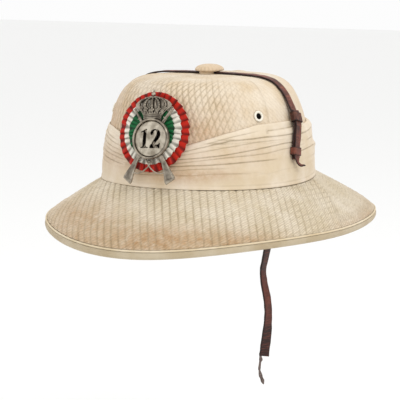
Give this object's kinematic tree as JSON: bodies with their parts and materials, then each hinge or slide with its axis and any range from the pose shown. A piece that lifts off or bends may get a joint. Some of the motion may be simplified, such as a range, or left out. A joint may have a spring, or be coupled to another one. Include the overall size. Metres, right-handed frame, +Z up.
{
  "type": "pith helmet",
  "caption": "Pith helmet with a quilted cotton crown and sloping brim, a pleated pugaree, a cockade with a cast badge, and leather straps.",
  "frame": {"origin": "middle of the head opening, at the height where the crown and the brim join, which is where a head carries the helmet", "axes": "+Z up, -Y towards the front with the badge, +X towards the wearer's left"},
  "size_m": [0.299, 0.3552, 0.285],
  "materials": {
    "quilted_cotton": "sun-bleached quilted cotton, stained",
    "pale_cotton": "plain pale cotton",
    "wrapped_cotton": "soft pleated cotton",
    "painted_eyelet": "worn cream paint",
    "brown_leather": "worn dark brown leather",
    "rivet_brass": "dull brass",
    "red_ribbon": "pleated satin ribbon",
    "white_ribbon": "pleated satin ribbon",
    "green_ribbon": "pleated satin ribbon",
    "badge_metal": "tarnished cast white metal"
  },
  "bodies": {
    "root": {"crown": "quilted_cotton", "brim": "quilted_cotton", "top_button": "quilted_cotton", "brim_underside": "pale_cotton", "rim_piping": "pale_cotton", "pugaree": "wrapped_cotton", "left_eyelet": "painted_eyelet", "right_eyelet": "painted_eyelet", "over_strap": "brown_leather", "strap_tail": "brown_leather", "upper_keeper": "brown_leather", "lower_keeper": "brown_leather", "hanging_strap": "brown_leather", "strap_rivet": "rivet_brass", "cockade_red": "red_ribbon", "cockade_white": "white_ribbon", "cockade_green": "green_ribbon", "badge_frame": "badge_metal", "badge_disc": "badge_metal"}
  },
  "joints": []
}
